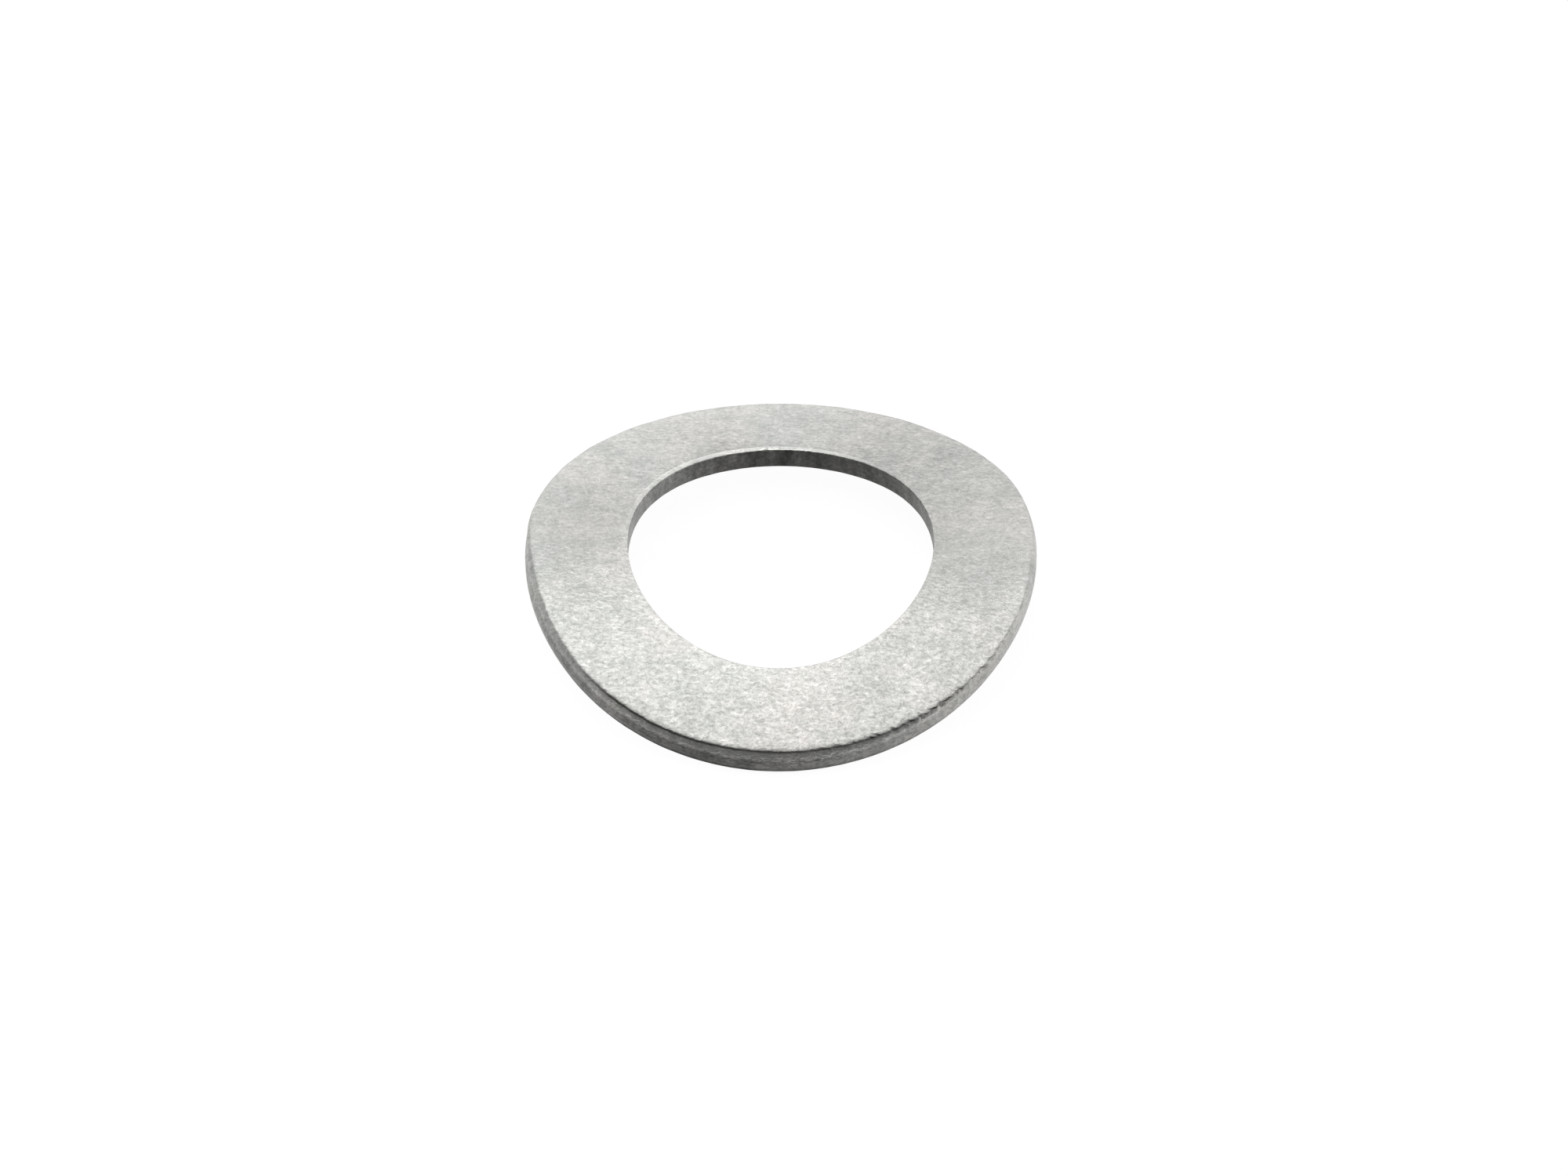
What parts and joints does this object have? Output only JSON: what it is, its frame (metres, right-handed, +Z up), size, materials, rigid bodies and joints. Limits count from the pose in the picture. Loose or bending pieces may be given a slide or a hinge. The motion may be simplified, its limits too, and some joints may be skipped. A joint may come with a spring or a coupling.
{
  "type": "curved spring washer",
  "caption": "Closed flat steel ring bent to a low arch, which springs back when a bolt head presses it flat.",
  "frame": {"origin": "on the ground, under the middle of the hole, with the washer standing crown up on the two feet of its arch", "axes": "+Z up along the hole's axis, X along the crown of the arch, Y from foot to foot"},
  "size_m": [0.018, 0.0176, 0.0025],
  "materials": {
    "zinc_plated_steel": "matt silver-grey zinc on tumbled spring steel"
  },
  "bodies": {
    "root": {"spring_washer": "zinc_plated_steel"}
  },
  "joints": []
}
